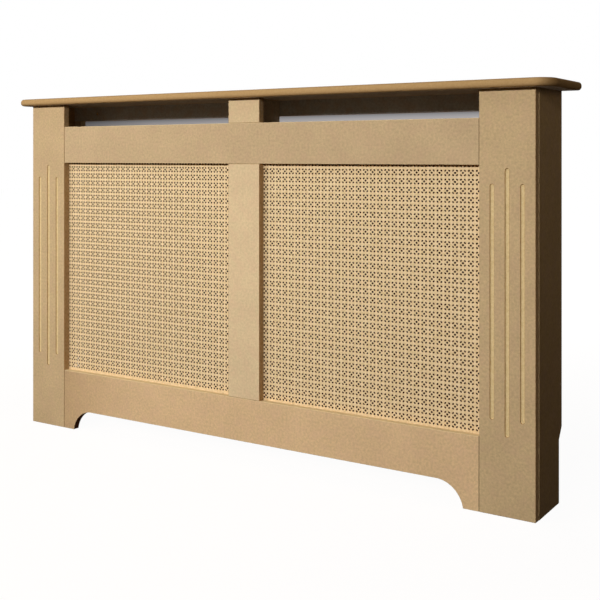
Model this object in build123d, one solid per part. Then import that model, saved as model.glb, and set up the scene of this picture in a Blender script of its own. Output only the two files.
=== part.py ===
from build123d import *
import os
from math import sqrt

# A radiator cover cabinet in bare MDF. A frame of glued boards stands in front: two fluted pilasters, two
# rails, a centre stile, and a small block that divides the air vent under the shelf. Two side panels carry it
# off the wall, two perforated sheets close its openings, and a shelf with rounded edges lies on top. The back
# and the underside are open, so it slides over a radiator, and each side panel is cut out for the skirting.
#
# Millimetres. +X is to the right as seen from the front, +Y runs from the front to the wall and +Z is up.
# The origin is on the floor, under the centre of the overall box.

# ---- overall ----
HEIGHT = 900.0
FRAME_WIDTH = 1456.0           # over the outer edges of the two pilasters
BODY_DEPTH = 160.0             # from the frame's face to the wall
FRAME_BOARD = 18.0             # thickness of pilasters, rails, stile and vent block
SIDE_BOARD = 18.0              # thickness of the side panels
SIDE_PROUD = 1.0               # the side panels stand this far outside the pilasters' edges

# ---- shelf ----
SHELF_THICKNESS = 18.0
SHELF_SIDE_OVERHANG = 44.0     # past the pilasters' outer edges
SHELF_FRONT_OVERHANG = 28.0    # past the frame's face
SHELF_EDGE_RADIUS = 8.0        # round-over along the front and side edges, above and below
SHELF_CORNER_RADIUS = 26.0     # of the two front corners in plan

# ---- front frame ----
PILASTER_WIDTH = 122.0
STILE_WIDTH = 92.0
VENT_HEIGHT = 60.0             # open slot between the top rail and the shelf
TOP_RAIL_HEIGHT = 98.0
BOTTOM_RAIL_HEIGHT = 157.0
ARCH_HEIGHT = 53.5             # cut-out under the bottom rail
ARCH_SETBACK = 36.0            # from each pilaster to the cut-out, along the floor
ARCH_RADIUS = 63.0             # of the cut-out's two ends

# ---- flutes, three to a pilaster, stopped grooves cut with a straight cutter ----
FLUTE_WIDTH = 8.5
FLUTE_DEPTH = 2.5
FLUTE_SPACING = 33.0
LONG_FLUTE = 552.0             # the middle one
SHORT_FLUTE = 487.0            # the outer two
FLUTE_CENTRE_HEIGHT = 440.5    # mid-height of all three above the floor

# ---- skirting cut-out at the foot of each side panel ----
SKIRTING_DEPTH = 18.0
SKIRTING_HEIGHT = 136.0        # where the cut-out's upright edge ends
SKIRTING_TOP = 161.0           # where its slanting edge reaches the wall

# ---- rails, brace and battens inside ----
REAR_RAIL_HEIGHT = 39.0
REAR_RAIL_BOARD = 18.0
BRACE_BOARD = 18.0
BRACE_HEIGHT = 100.0
BRACE_CHAMFER = 40.0           # off its lower rear corner
REAR_BATTEN_WIDTH = 27.0       # along the front
CORNER_BATTEN = 20.0           # square section, behind each pilaster
CORNER_BATTEN_STOP = 30.0      # it ends this far from the floor and from the shelf

# ---- wall screws through the rear rail ----
WALL_HOLE_RADIUS = 2.75
WALL_HOLES = 1240.0            # between the two holes

# ---- perforated sheets ----
SHEET_THICKNESS = 3.2
SHEET_LAP = 25.0               # behind the frame, all round an opening
CELLS = 6                      # pattern cells across an opening
CENTRE_HOLE = 0.26             # across corners, in shares of a cell
PETAL_LENGTH = 0.33
PETAL_WIDTH = 0.19
PETAL_OFFSET = 0.25            # of a petal's middle from the cell's middle, both ways

# ---- biscuits: pressed beech ovals glued into slots cut by a disc cutter ----
BISCUIT_LENGTH = 56.0
BISCUIT_WIDTH = 23.0
BISCUIT_THICKNESS = 4.0
BISCUIT_CLEARANCE = 0.05       # each side of a biscuit in its slot
SLOT_RADIUS = 50.0
SLOT_DEPTH = 12.0
BOTTOM_RAIL_SLOTS = 76.0       # between the two biscuits in an end of the bottom rail
REAR_RAIL_SLOTS = 700.0        # between the two biscuits along the rear rail

# ---- brads: flat nails with a T-shaped head ----
BRAD_WIDTH = 1.25
BRAD_BREADTH = 1.0
BRAD_HEAD = 2.4
BRAD_HEAD_DEPTH = 0.8
BRAD_BITE = 10.0               # length in the piece that it holds on to
BATTEN_BRADS = 3               # along each batten
BATTEN_BRAD_END = 60.0         # from a batten's end to its first brad
BRACE_BRADS = 20.0             # between the two brads in the brace

# ---- staples that hold the sheets ----
STAPLE_CROWN = 12.0
STAPLE_WIRE = 1.2
STAPLE_BREADTH = 0.7
STAPLE_BITE = 6.0              # length of a leg in the frame
STAPLES_PER_SIDE = 2
STAPLE_INSET = 12.0            # from the sheet's edge to a staple's line

# ---- places that follow from the sizes ----
y_wall = (BODY_DEPTH + SHELF_FRONT_OVERHANG) / 2
y_face = y_wall - BODY_DEPTH
y_back = y_face + FRAME_BOARD                  # back of the front frame
y_frame = y_face + FRAME_BOARD / 2             # middle of its thickness
y_rear = y_wall - REAR_RAIL_BOARD              # front of the rear rail and rear battens
z_shelf = HEIGHT - SHELF_THICKNESS             # underside of the shelf
z_vent = z_shelf - VENT_HEIGHT                 # top of the top rail
z_head = z_vent - TOP_RAIL_HEIGHT              # top of the openings
z_sill = BOTTOM_RAIL_HEIGHT                    # bottom of the openings
z_rear_rail = z_shelf - REAR_RAIL_HEIGHT
x_edge = FRAME_WIDTH / 2
x_jamb = x_edge - PILASTER_WIDTH               # inner edge of a pilaster
x_stile = STILE_WIDTH / 2
x_outside = x_edge + SIDE_PROUD
x_inside = x_outside - SIDE_BOARD              # inner face of a side panel
x_side = x_outside - SIDE_BOARD / 2            # middle of its thickness
x_end = x_edge + SHELF_SIDE_OVERHANG

LEFT = -1
RIGHT = 1


def block(x, y, z):
    """A rectangular solid between two bounds on each axis, given in either order."""
    size = [abs(b - a) for a, b in (x, y, z)]
    return Pos(*[(a + b) / 2 for a, b in (x, y, z)]) * Box(*size)


def spread(count, gap):
    """Offsets of a number of things a gap apart, centred on 0."""
    return [(i - (count - 1) / 2) * gap for i in range(count)]


# ---- biscuit joints ----
def joint(point, along, across):
    """A biscuit's place: local X runs along the biscuit and local Y crosses the joint."""
    return Plane(origin=point, x_dir=along, z_dir=Vector(*along).cross(Vector(*across)))


def slotted(board, joints, side):
    """The board with a slot at each joint. side is 1 if it lies on the joints' local +Y side, or else -1."""
    width = BISCUIT_THICKNESS + 2 * BISCUIT_CLEARANCE
    for place in joints:
        board -= place * Pos(0, -side * (SLOT_RADIUS - SLOT_DEPTH), 0) * Cylinder(SLOT_RADIUS, width)
    return board


def biscuits(joints):
    """One oval biscuit in each joint."""
    sagitta = BISCUIT_WIDTH / 2
    radius = ((BISCUIT_LENGTH / 2) ** 2 + sagitta**2) / (2 * sagitta)
    drop = radius - sagitta
    oval = Pos(0, drop) * Circle(radius) & Pos(0, -drop) * Circle(radius)
    flat = Pos(0, 0, -BISCUIT_THICKNESS / 2) * extrude(oval, BISCUIT_THICKNESS)
    return Compound([place * flat.solid() for place in joints])


ALONG_X = (1, 0, 0)
ALONG_Y = (0, 1, 0)
ALONG_Z = (0, 0, 1)
z_top_rail = (z_vent + z_head) / 2
y_side = (y_back + y_wall) / 2


def jamb_joint(hand, z):
    """A joint between the end of a rail and the pilaster beside it, at a height."""
    return joint((hand * x_jamb, y_frame, z), ALONG_Z, ALONG_X)


top_rail_joints = {hand: [jamb_joint(hand, z_top_rail)] for hand in (LEFT, RIGHT)}
bottom_rail_joints = {
    hand: [jamb_joint(hand, z_sill / 2 + z) for z in spread(2, BOTTOM_RAIL_SLOTS)] for hand in (LEFT, RIGHT)
}
stile_foot_joint = joint((0, y_frame, z_sill), ALONG_X, ALONG_Z)
stile_head_joint = joint((0, y_frame, z_head), ALONG_X, ALONG_Z)
side_shelf_joint = {hand: joint((hand * x_side, y_side, z_shelf), ALONG_Y, ALONG_Z) for hand in (LEFT, RIGHT)}
rear_shelf_joints = [
    joint((x, y_wall - REAR_RAIL_BOARD / 2, z_shelf), ALONG_X, ALONG_Z) for x in spread(2, REAR_RAIL_SLOTS)
]
shelf_joints = [*side_shelf_joint.values(), *rear_shelf_joints]


# ---- brads and staples ----
def brad(point, direction, through):
    """A brad driven from a point along a direction, through a piece and into the next."""
    length = through + BRAD_BITE
    shank = Pos(0, 0, length / 2) * Box(BRAD_BREADTH, BRAD_WIDTH, length)
    head = Pos(0, 0, BRAD_HEAD_DEPTH / 2) * Box(BRAD_BREADTH, BRAD_HEAD, BRAD_HEAD_DEPTH)
    return Plane(origin=point, x_dir=ALONG_Z if direction[1] else ALONG_Y, z_dir=direction) * (shank + head)


def staple(x, z, upright):
    """A staple on the back of a sheet, its crown along Z if upright and along X if not."""
    reach = SHEET_THICKNESS + STAPLE_BITE
    wire = Pos(0, 0, -STAPLE_BREADTH / 2) * Box(STAPLE_CROWN, STAPLE_WIRE, STAPLE_BREADTH)
    for side in (LEFT, RIGHT):
        leg = Box(STAPLE_BREADTH, STAPLE_WIRE, reach)
        wire += Pos(side * (STAPLE_CROWN - STAPLE_BREADTH) / 2, 0, reach / 2) * leg
    along = ALONG_Z if upright else ALONG_X
    return Plane(origin=(x, y_back + SHEET_THICKNESS, z), x_dir=along, z_dir=(0, -1, 0)) * wire


def pierced(board, fasteners):
    """The board with the holes that fasteners leave in it."""
    for one in fasteners.solids():
        board -= one
    return board


def batten_brads(hand, x, y, low, high, through):
    """A row of brads up a batten, driven outwards into the side panel."""
    gap = (high - low - 2 * BATTEN_BRAD_END) / (BATTEN_BRADS - 1)
    heights = [(low + high) / 2 + z for z in spread(BATTEN_BRADS, gap)]
    return [brad((hand * x, y, z), (hand, 0, 0), through) for z in heights]


corner_low = CORNER_BATTEN_STOP
corner_high = z_shelf - CORNER_BATTEN_STOP
corner_brads = Compound([
    nail.solid()
    for hand in (LEFT, RIGHT)
    for nail in batten_brads(
        hand, x_inside - CORNER_BATTEN, y_back + CORNER_BATTEN / 2, corner_low, corner_high, CORNER_BATTEN
    )
])
rear_brads = Compound([
    nail.solid()
    for hand in (LEFT, RIGHT)
    for nail in batten_brads(
        hand,
        x_inside - REAR_BATTEN_WIDTH,
        (y_rear + y_wall) / 2,
        SKIRTING_TOP,
        z_rear_rail,
        REAR_BATTEN_WIDTH,
    )
])
brace_brads = Compound([
    brad((0, y_wall, z_shelf - REAR_RAIL_HEIGHT / 2 + z), (0, -1, 0), REAR_RAIL_BOARD).solid()
    for z in spread(2, BRACE_BRADS)
])

x_opening = (x_jamb + x_stile) / 2             # middle of the right-hand opening
z_opening = (z_head + z_sill) / 2
opening_width = x_jamb - x_stile
opening_height = z_head - z_sill


def sheet_staples(hand):
    """Staples round a sheet: as many along each edge, in the lap behind the frame."""
    half_x = opening_width / 2 + SHEET_LAP - STAPLE_INSET
    half_z = opening_height / 2 + SHEET_LAP - STAPLE_INSET
    wires = []
    for side in (LEFT, RIGHT):
        for share in spread(STAPLES_PER_SIDE, 1 / STAPLES_PER_SIDE):
            wires.append(staple(hand * x_opening + side * half_x, z_opening + share * opening_height, True))
            wires.append(staple(hand * x_opening + share * opening_width, z_opening + side * half_z, False))
    return Compound([wire.solid() for wire in wires])


staples = {hand: sheet_staples(hand) for hand in (LEFT, RIGHT)}
all_staples = Compound([*staples[LEFT].solids(), *staples[RIGHT].solids()])


# ---- boards of the front frame ----
def pilaster(hand):
    """A full-height board with three stopped flutes, the middle one the longest."""
    board = block((hand * x_jamb, hand * x_edge), (y_face, y_back), (0, z_shelf))
    x_middle = hand * (x_edge + x_jamb) / 2
    for offset in spread(3, FLUTE_SPACING):
        groove = SlotOverall(SHORT_FLUTE if offset else LONG_FLUTE, FLUTE_WIDTH, rotation=90)
        cutter = extrude(Plane.XZ * groove, FLUTE_DEPTH)
        board -= Pos(x_middle + offset, y_face + FLUTE_DEPTH, FLUTE_CENTRE_HEIGHT) * cutter
    board = slotted(board, top_rail_joints[hand] + bottom_rail_joints[hand], hand)
    return pierced(board, staples[hand])


def top_rail():
    """The rail over the openings, between the pilasters."""
    board = block((-x_jamb, x_jamb), (y_face, y_back), (z_head, z_vent))
    for hand in (LEFT, RIGHT):
        board = slotted(board, top_rail_joints[hand], -hand)
    board = slotted(board, [stile_head_joint], 1)
    return pierced(board, all_staples)


def bottom_rail():
    """The rail under the openings, with a long cut-out that leaves a foot beside each pilaster."""
    x_foot = x_jamb - ARCH_SETBACK
    drop = ARCH_RADIUS - ARCH_HEIGHT           # the arcs' centres lie this far under the floor
    x_arc = x_foot - sqrt(ARCH_RADIUS**2 - drop**2)
    rise = ARCH_RADIUS * sqrt(0.5)             # a point halfway up each arc
    right_arc = ThreePointArc((x_foot, 0), (x_arc + rise, rise - drop), (x_arc, ARCH_HEIGHT))
    left_arc = ThreePointArc((-x_arc, ARCH_HEIGHT), (-x_arc - rise, rise - drop), (-x_foot, 0))
    outline = [
        right_arc,
        Line((x_arc, ARCH_HEIGHT), (-x_arc, ARCH_HEIGHT)),
        left_arc,
        Polyline((-x_foot, 0), (-x_jamb, 0), (-x_jamb, z_sill), (x_jamb, z_sill), (x_jamb, 0), (x_foot, 0)),
    ]
    face = Plane.XZ * make_face(Curve() + outline)
    board = Pos(0, y_back, 0) * extrude(face, FRAME_BOARD)
    for hand in (LEFT, RIGHT):
        board = slotted(board, bottom_rail_joints[hand], -hand)
    board = slotted(board, [stile_foot_joint], -1)
    return pierced(board, all_staples)


def centre_stile():
    """The upright between the two openings."""
    board = block((-x_stile, x_stile), (y_face, y_back), (z_sill, z_head))
    board = slotted(board, [stile_foot_joint], 1)
    board = slotted(board, [stile_head_joint], -1)
    return pierced(board, all_staples)


def vent_block():
    """The short block that halves the vent, glued between the top rail and the shelf."""
    return block((-x_stile, x_stile), (y_face, y_back), (z_vent, z_shelf))


# ---- carcass ----
def side_panel(hand):
    """A side panel, cut out at the foot to pass the skirting board."""
    outline = Polyline(
        (y_back, 0),
        (y_back, z_shelf),
        (y_wall, z_shelf),
        (y_wall, SKIRTING_TOP),
        (y_wall - SKIRTING_DEPTH, SKIRTING_HEIGHT),
        (y_wall - SKIRTING_DEPTH, 0),
        close=True,
    )
    board = Pos(hand * x_side - SIDE_BOARD / 2, 0, 0) * extrude(Plane.YZ * make_face(outline), SIDE_BOARD)
    board = slotted(board, [side_shelf_joint[hand]], -1)
    return pierced(pierced(board, corner_brads), rear_brads)


def top_shelf():
    """The shelf: rounded front corners, rounded front and side edges, and a square edge to the wall."""
    y_front = y_face - SHELF_FRONT_OVERHANG
    slab = block((-x_end, x_end), (y_front, y_wall), (z_shelf, HEIGHT))
    slab = fillet(slab.edges().filter_by(Axis.Z).group_by(Axis.Y)[0], SHELF_CORNER_RADIUS)
    rims = slab.edges().filter_by(lambda e: abs(e.tangent_at(0.5).Z) < 0.5 and e.center().Y < y_wall - 1)
    slab = fillet(rims, SHELF_EDGE_RADIUS)
    return slotted(slab, shelf_joints, 1)


def rear_rail():
    """The rail under the shelf at the wall, with two holes for the wall screws."""
    board = block((-x_inside, x_inside), (y_rear, y_wall), (z_rear_rail, z_shelf))
    for x in spread(2, WALL_HOLES):
        place = Pos(x, y_wall - REAR_RAIL_BOARD / 2, z_shelf - REAR_RAIL_HEIGHT / 2)
        board -= place * Rot(90, 0, 0) * Cylinder(WALL_HOLE_RADIUS, REAR_RAIL_BOARD)
    return pierced(slotted(board, rear_shelf_joints, -1), brace_brads)


def centre_brace():
    """The upright plate that holds the shelf from the vent block back to the rear rail."""
    z_low = z_shelf - BRACE_HEIGHT
    outline = Polyline(
        (y_back, z_low),
        (y_back, z_shelf),
        (y_rear, z_shelf),
        (y_rear, z_low + BRACE_CHAMFER),
        (y_rear - BRACE_CHAMFER, z_low),
        close=True,
    )
    plate = Pos(-BRACE_BOARD / 2, 0, 0) * extrude(Plane.YZ * make_face(outline), BRACE_BOARD)
    return pierced(plate, brace_brads)


def rear_batten(hand):
    """The upright at the wall inside a side panel, from the skirting cut-out to the rear rail."""
    x_in = x_inside - REAR_BATTEN_WIDTH
    batten = block((hand * x_in, hand * x_inside), (y_rear, y_wall), (SKIRTING_TOP, z_rear_rail))
    return pierced(batten, rear_brads)


def corner_batten(hand):
    """The square upright glued into the corner between a pilaster and its side panel."""
    x_in = x_inside - CORNER_BATTEN
    y_in = y_back + CORNER_BATTEN
    batten = block((hand * x_in, hand * x_inside), (y_back, y_in), (corner_low, corner_high))
    return pierced(batten, corner_brads)


# ---- perforated sheets ----
def lozenge(x, z, length, width, slope):
    """A four-cornered hole in the sheet's face. Its length runs up to the right if slope is 1, down if -1."""
    long = length / 2 * sqrt(0.5)
    short = width / 2 * sqrt(0.5)
    corners = [
        (x + long, z + slope * long),
        (x - short, z + slope * short),
        (x - long, z - slope * long),
        (x + short, z - slope * short),
    ]
    return Wire.make_polygon([(cx, y_back, cz) for cx, cz in corners], close=True)


def grille(hand):
    """A thin sheet pierced in cells: a small hole in the middle and four petals in a ring round it."""
    middle = hand * x_opening
    pitch_x = opening_width / CELLS
    pitch_z = opening_height / CELLS
    pitch = min(pitch_x, pitch_z)
    holes = []
    for column in spread(CELLS, pitch_x):
        for row in spread(CELLS, pitch_z):
            x, z = middle + column, z_opening + row
            holes.append(lozenge(x, z, CENTRE_HOLE * pitch, CENTRE_HOLE * pitch, 1))
            for side in (-1, 1):
                for up in (-1, 1):
                    place = (x + side * PETAL_OFFSET * pitch_x, z + up * PETAL_OFFSET * pitch_z)
                    holes.append(lozenge(*place, PETAL_LENGTH * pitch, PETAL_WIDTH * pitch, -side * up))
    half_x = opening_width / 2 + SHEET_LAP
    half_z = opening_height / 2 + SHEET_LAP
    corners = [(-half_x, -half_z), (half_x, -half_z), (half_x, half_z), (-half_x, half_z)]
    rim = Wire.make_polygon([(middle + x, y_back, z_opening + z) for x, z in corners], close=True)
    sheet = extrude(Face(rim, holes), SHEET_THICKNESS, dir=(0, 1, 0))
    return pierced(sheet, staples[hand])


rail_joints = [*top_rail_joints.values(), *bottom_rail_joints.values()]

pieces = {
    "top_shelf": top_shelf(),
    "side_panel_left": side_panel(LEFT),
    "side_panel_right": side_panel(RIGHT),
    "pilaster_left": pilaster(LEFT),
    "pilaster_right": pilaster(RIGHT),
    "top_rail": top_rail(),
    "bottom_rail": bottom_rail(),
    "centre_stile": centre_stile(),
    "vent_block": vent_block(),
    "grille_left": grille(LEFT),
    "grille_right": grille(RIGHT),
    "rear_rail": rear_rail(),
    "centre_brace": centre_brace(),
    "rear_batten_left": rear_batten(LEFT),
    "rear_batten_right": rear_batten(RIGHT),
    "corner_batten_left": corner_batten(LEFT),
    "corner_batten_right": corner_batten(RIGHT),
    "rail_biscuits": biscuits([place for joints in rail_joints for place in joints]),
    "stile_biscuits": biscuits([stile_foot_joint, stile_head_joint]),
    "shelf_biscuits": biscuits(shelf_joints),
    "corner_batten_brads": corner_brads,
    "rear_batten_brads": rear_brads,
    "brace_brads": brace_brads,
    "grille_staples_left": staples[LEFT],
    "grille_staples_right": staples[RIGHT],
}

os.makedirs("parts", exist_ok=True)
for name, shape in pieces.items():
    export_step(shape, f"parts/{name}.step")
    print(f"{name:22s} {len(shape.solids())} solid(s), {shape.volume / 1000:.1f} cm3")
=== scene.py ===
import math

import bmesh
import bpy
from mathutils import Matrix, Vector


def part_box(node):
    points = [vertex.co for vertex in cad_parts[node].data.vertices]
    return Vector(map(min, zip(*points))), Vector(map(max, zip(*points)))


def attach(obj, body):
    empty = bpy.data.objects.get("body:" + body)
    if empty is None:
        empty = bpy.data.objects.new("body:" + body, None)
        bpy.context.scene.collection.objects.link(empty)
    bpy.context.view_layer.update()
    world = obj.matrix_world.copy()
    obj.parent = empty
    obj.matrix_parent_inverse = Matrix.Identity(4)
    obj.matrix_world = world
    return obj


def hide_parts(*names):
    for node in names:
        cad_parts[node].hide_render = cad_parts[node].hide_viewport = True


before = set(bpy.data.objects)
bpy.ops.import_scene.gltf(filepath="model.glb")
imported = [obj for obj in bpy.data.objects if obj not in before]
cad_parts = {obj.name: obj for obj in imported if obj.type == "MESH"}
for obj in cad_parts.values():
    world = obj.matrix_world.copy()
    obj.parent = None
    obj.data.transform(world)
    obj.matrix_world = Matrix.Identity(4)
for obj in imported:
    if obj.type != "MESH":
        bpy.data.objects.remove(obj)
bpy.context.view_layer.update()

scene = bpy.context.scene
scene.view_settings.view_transform = "Standard"


# ---- Camera. It stands level in front of the cabinet's right-hand end, a little lower than the shelf, and
# looks back to the left. The horizon lies high in the picture, so the lens is shifted and not tilted.
CAMERA_PLACE = (1.4308, -2.0359, 0.7412)
CAMERA_TURN = 32.795                 # degrees to the left of straight ahead
SENSOR_WIDTH = 36.0
LENS = 60.5
HORIZON_RISE = 0.2392                # of the horizon above the picture's middle, in picture widths

camera = bpy.data.objects.new("camera", bpy.data.cameras.new("camera"))
camera.data.sensor_width = SENSOR_WIDTH
camera.data.lens = LENS
camera.data.shift_y = -HORIZON_RISE
camera.location = CAMERA_PLACE
camera.rotation_euler = (math.radians(90), 0, math.radians(CAMERA_TURN))
scene.collection.objects.link(camera)
scene.camera = camera


# ---- Stage: a plain pale floor, and the strip of wall that the cabinet stands against. The wall is only as
# large as the cabinet's open back, so it shows through the vents and the sheets' holes and nowhere else.
MM = 0.001
WHITE = "#FFFFFF"
FLOOR_SIZE = 30.0
FLOOR_TONE = "#463B30"               # what lights the cabinet from below
FLOOR_GLOW = 0.96                    # added to that for the camera, so that the lit floor is white
FLOOR_WHITE = (0.9, 2.4)             # distances from the cabinet between which that grows to full white
WALL_GAP = 0.5 * MM
WALL_INSET = 20 * MM                 # inside the side panels' outer faces
WALL_FOOT = 115 * MM                 # the lowest that the sheets' holes show of it
WALL_HEIGHTS = (740 * MM, 860 * MM)  # between which the wall's painted bands of light and shade lie, as shares of that height
WALL_BANDS = (
    (0.33, "#3E2212"),               # low down, painted shade, as of a radiator behind, seen through the sheets' holes
    (0.72, "#B4AEAC"),               # plaster with painted light, seen through the vents
    # the painted soft edge of the shelf's shadow
    (0.80, "#9C9A9C"),
    (0.93, "#3A3630"),               # painted shadow of the shelf
)
WALL_WIDTHS = (-690 * MM, 180 * MM)  # from the wall's left end, dimmed by painted shade, to full light
WALL_DIMMING = ((0.0, "#989898"), (0.3, "#DDDDDD"), (1.0, WHITE))  # as shares of that width


def linear(hex_colour):
    """An sRGB hex colour as linear red, green, blue and alpha."""
    channels = [int(hex_colour[i : i + 2], 16) / 255 for i in (1, 3, 5)]
    return [c / 12.92 if c <= 0.04045 else ((c + 0.055) / 1.055) ** 2.4 for c in channels] + [1.0]


def put(tree, kind, inputs=None, out=None, stops=(), **settings):
    """Adds a node with its settings and links, and returns it, or its output if out names one. inputs maps a
    socket's name or number to a value, an output, or a list of outputs, and stops are a ramp's places and
    colours."""
    node = tree.nodes.new(kind)
    for name, value in settings.items():
        setattr(node, name, value)
    for key, value in (inputs or {}).items():
        feeds = value if isinstance(value, list) and isinstance(value[0], bpy.types.NodeSocket) else [value]
        for feed in feeds:
            if isinstance(feed, bpy.types.NodeSocket):
                tree.links.new(feed, node.inputs[key])
            else:
                node.inputs[key].default_value = feed
    if stops:
        band = node.color_ramp.elements
        while len(band) < len(stops):
            band.new(0.5)
        for element, (place, colour) in zip(band, stops):
            element.position = place
            element.color = colour
    return node if out is None else node.outputs[out]


MULTIPLIED = {"data_type": "RGBA", "blend_type": "MULTIPLY"}


def blank_material(name):
    """A new material with an empty node tree."""
    material = bpy.data.materials.new(name)
    material.use_nodes = True
    material.node_tree.nodes.clear()
    return material


def seen_directly(tree):
    """1 for a ray from the camera, or one that a gloss or a glass sends on, and 0 for any other."""
    path = put(tree, "ShaderNodeLightPath").outputs
    sharp = {0: path["Is Camera Ray"], 1: path["Is Glossy Ray"]}
    sharp = put(tree, "ShaderNodeMath", sharp, out=0, operation="MAXIMUM")
    either = {0: sharp, 1: path["Is Transmission Ray"]}
    return put(tree, "ShaderNodeMath", either, out=0, operation="MAXIMUM")


def plane_object(name, corners, material):
    """A flat four-cornered object."""
    mesh = bpy.data.meshes.new(name)
    mesh.from_pydata(corners, [], [range(len(corners))])
    mesh.materials.append(material)
    obj = bpy.data.objects.new(name, mesh)
    scene.collection.objects.link(obj)
    return obj


# matt floor paint, which the camera sees as white, with the cabinet's shadow on it
floor_paint = blank_material("studio floor paint")
tree = floor_paint.node_tree
matt = put(tree, "ShaderNodeBsdfDiffuse", {"Color": linear(FLOOR_TONE)}, out=0)
spot = put(tree, "ShaderNodeTexCoord", out="Object")
away = put(tree, "ShaderNodeVectorMath", {0: spot}, out="Value", operation="LENGTH")
near, far = FLOOR_WHITE
growth = {"Value": away, "From Min": near, "From Max": far, "To Min": FLOOR_GLOW, "To Max": 1.0}
strength = put(tree, "ShaderNodeMapRange", growth, out=0)
glow = put(tree, "ShaderNodeEmission", {"Color": linear(WHITE), "Strength": strength}, out=0)
nothing = put(tree, "ShaderNodeEmission", {"Strength": 0.0}, out=0)
extra = put(tree, "ShaderNodeMixShader", {0: seen_directly(tree), 1: nothing, 2: glow}, out=0)
total = put(tree, "ShaderNodeAddShader", {0: matt, 1: extra}, out=0)
put(tree, "ShaderNodeOutputMaterial", {"Surface": total})
half = FLOOR_SIZE / 2
corners = [(-half, -half, 0), (half, -half, 0), (half, half, 0), (-half, half, 0)]
plane_object("floor", corners, floor_paint)

# plaster drawn as a glow with its light and shade painted in: painted light at the vents, painted shadow
# under the shelf, painted shade low down and at the left end, and clear to light from behind
wall_glow = blank_material("wall paint, seen from the room and clear to the light from behind")
tree = wall_glow.node_tree
place = put(tree, "ShaderNodeTexCoord", out="Object")
axes = put(tree, "ShaderNodeSeparateXYZ", {0: place}).outputs
low, high = WALL_HEIGHTS
rise = put(tree, "ShaderNodeMapRange", {"Value": axes["Z"], "From Min": low, "From Max": high}, out=0)
stops = [(at, linear(tone)) for at, tone in WALL_BANDS]
bands = put(tree, "ShaderNodeValToRGB", {"Fac": rise}, out="Color", stops=stops)
left, right = WALL_WIDTHS
run = put(tree, "ShaderNodeMapRange", {"Value": axes["X"], "From Min": left, "From Max": right}, out=0)
stops = [(at, linear(tone)) for at, tone in WALL_DIMMING]
dimming = put(tree, "ShaderNodeValToRGB", {"Fac": run}, out="Color", stops=stops)
painted_wall_light = put(tree, "ShaderNodeMix", {"Factor": 1.0, 6: bands, 7: dimming}, out=2, **MULTIPLIED)
seen = put(tree, "ShaderNodeEmission", {"Color": painted_wall_light}, out=0)
clear = put(tree, "ShaderNodeBsdfTransparent", out=0)
rear = put(tree, "ShaderNodeNewGeometry", out="Backfacing")
front = put(tree, "ShaderNodeMath", {0: 1.0, 1: rear}, out=0, operation="SUBTRACT")
shown = put(tree, "ShaderNodeMath", {0: front, 1: seen_directly(tree)}, out=0, operation="MULTIPLY")
one_sided = put(tree, "ShaderNodeMixShader", {0: shown, 1: clear, 2: seen}, out=0)
put(tree, "ShaderNodeOutputMaterial", {"Surface": one_sided})
body_low, body_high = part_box("side_panel_left")[0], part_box("side_panel_right")[1]
x0, x1 = body_low.x + WALL_INSET, body_high.x - WALL_INSET
y = body_high.y + WALL_GAP
z0, z1 = WALL_FOOT, body_high.z
plane_object("wall", [(x0, y, z0), (x1, y, z0), (x1, y, z1), (x0, y, z1)], wall_glow)

# The light: a long lamp before the cabinet and a little above it, a near one on its left, one overhead, a
# weak one for its right side, one behind it, and a dim room. The background is white where it is seen.
ROOM_COLOUR = "#FFE0B4"
ROOM_STRENGTH = 0.034

world = bpy.data.worlds.new("room")
scene.world = world
world.use_nodes = True
tree = world.node_tree
tree.nodes.clear()
dim = put(tree, "ShaderNodeBackground", {"Color": linear(ROOM_COLOUR), "Strength": ROOM_STRENGTH}, out=0)
white = put(tree, "ShaderNodeBackground", {"Color": linear(WHITE), "Strength": 1.0}, out=0)
both = put(tree, "ShaderNodeMixShader", {0: seen_directly(tree), 1: dim, 2: white}, out=0)
put(tree, "ShaderNodeOutputWorld", {"Surface": both})


def lamp(name, place, target, width, height, watts, colour=WHITE, spread=180):
    """A soft rectangular lamp that points at a target, its light kept within a spread in degrees."""
    light = bpy.data.lights.new(name, "AREA")
    light.shape = "RECTANGLE"
    light.size = width
    light.size_y = height
    light.energy = watts
    light.color = linear(colour)[:3]
    light.spread = math.radians(spread)
    obj = bpy.data.objects.new(name, light)
    obj.location = place
    obj.rotation_euler = (Vector(target) - Vector(place)).to_track_quat("-Z", "Y").to_euler()
    scene.collection.objects.link(obj)


# each lamp's name, place, target, width, height and watts, and a colour and spread where they aren't plain
lamp("front lamp", (0.65, -4.2, 1.94), (-0.1, 0.0, 0.38), 2.2, 0.18, 24, spread=80)
lamp("left lamp", (-1.6, -2.2, 1.43), (-0.2, 0.0, 0.5), 1.0, 0.14, 31)
lamp("high lamp", (-0.3, -1.5, 3.2), (0.0, 0.0, 0.3), 1.2, 1.2, 12)
lamp("right lamp", (2.3, 0.1, 1.25), (0.7, 0.1, 0.6), 0.6, 0.6, 0.9, "#FFF4E4", 120)
lamp("rear lamp", (-1.8, 3.0, 1.6), (0.0, 0.1, 0.5), 1.5, 1.5, 46, "#F0F3FF")


# ---- Pilasters: two full-height boards of 18 mm MDF, with three stopped grooves each, cut by a router with a
# straight bit. Sanded faces are pinkish tan and flecked with fibre, and cut edges are yellower and rougher.
ARRIS = 0.9 * MM                     # every edge is eased with sandpaper
ARRIS_STEPS = 3
EASED_FROM = 35                      # degrees between two faces, from which their edge is eased
SHARP_FROM = 40                      # and from which it is shaded as an edge
FLUTE_WIDTH = 8.5 * MM
FLUTE_DEPTH = 2.5 * MM
FLUTE_ROOT = 0.8 * MM                # small radius that the bit leaves at the bottom
FLUTE_SPACING = 33 * MM
FLUTE_LENGTHS = (487 * MM, 552 * MM, 487 * MM)
FLUTE_MIDDLE = 440.5 * MM            # height of all three grooves' middles
FLUTE_STEPS = 12                     # flat steps in each round end
ROOT_STEPS = 4

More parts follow.
